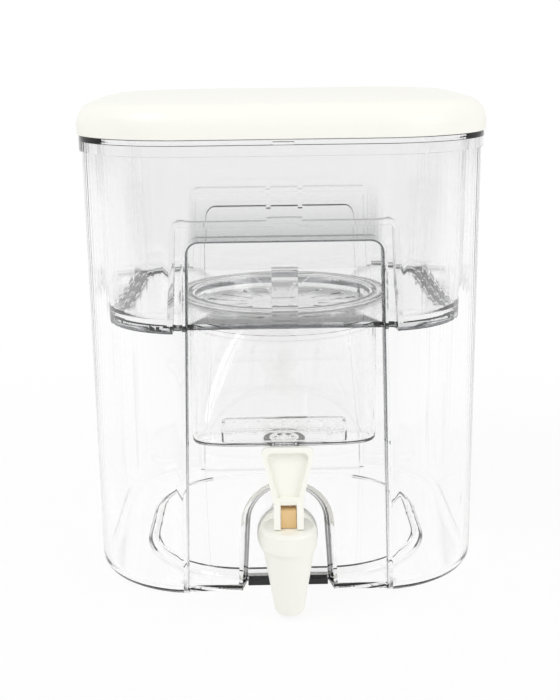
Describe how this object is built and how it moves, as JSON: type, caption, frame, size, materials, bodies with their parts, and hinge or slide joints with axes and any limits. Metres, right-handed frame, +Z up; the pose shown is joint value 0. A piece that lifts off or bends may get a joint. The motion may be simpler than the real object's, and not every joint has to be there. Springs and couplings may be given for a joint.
{
  "type": "gravity water filter with tap",
  "caption": "Clear countertop water filter: storage tank, hanging reservoir with a twist-locked filter cup, lift-off lid and a lever tap in an arched niche.",
  "frame": {"origin": "on the table, under the middle of the whole object's box; the tank's own axis stands 13.75 mm behind it", "axes": "+Z up, -Y towards the front with the tap, +X to the viewer's right"},
  "size_m": [0.205, 0.2234, 0.2455],
  "materials": {
    "clear_plastic": "clear moulded plastic, polished",
    "filter_mesh": "fine white filter mesh",
    "clear_silicone": "translucent white silicone",
    "black_rubber": "matt black rubber",
    "ivory_plastic": "satin ivory moulded plastic",
    "tan_plastic": "natural tan moulded plastic"
  },
  "bodies": {
    "tank": {"tank_body": "clear_plastic", "foot_strip": "black_rubber", "tap_body": "ivory_plastic", "tap_bonnet": "ivory_plastic", "bonnet_seal": "clear_silicone", "outer_washer": "clear_silicone", "inner_washer": "clear_silicone", "tap_nut": "ivory_plastic"},
    "reservoir": {"reservoir": "clear_plastic"},
    "filter": {"filter_cup": "clear_plastic", "filter_seal": "clear_silicone", "filter_cap": "clear_plastic", "upper_screen": "filter_mesh", "bottom_strainer": "clear_plastic", "outlet_grille": "clear_plastic"},
    "lid": {"lid": "ivory_plastic"},
    "tap_stem": {"tap_stem": "tan_plastic", "lever_pin": "ivory_plastic", "valve_plug": "clear_silicone"},
    "tap_lever": {"tap_lever": "ivory_plastic"}
  },
  "joints": [
    {"name": "reservoir_lift", "type": "slide", "parent": "tank", "child": "reservoir", "axis": [0, 0, 1], "range_m": [0, 0.19]},
    {"name": "lid_lift", "type": "slide", "parent": "reservoir", "child": "lid", "axis": [0, 0, 1], "range_m": [0, 0.06]},
    {"name": "filter_turn", "type": "hinge", "parent": "reservoir", "child": "filter", "pos_m": [0, 0.01375, 0.14], "axis": [0, 0, 1], "range_deg": [0, 29]},
    {"name": "valve_lift", "type": "slide", "parent": "tank", "child": "tap_stem", "axis": [0, 0, 1], "range_m": [0, 0.0035]},
    {"name": "lever_tilt", "type": "hinge", "parent": "tap_stem", "child": "tap_lever", "pos_m": [0, -0.09825, 0.0515], "axis": [1, 0, 0], "range_deg": [0, 40], "stiffness_Nm_per_rad": 0.05}
  ],
  "couplings": [
    {"joint": "valve_lift", "follows": "lever_tilt", "m_per_rad": 0.00501}
  ]
}
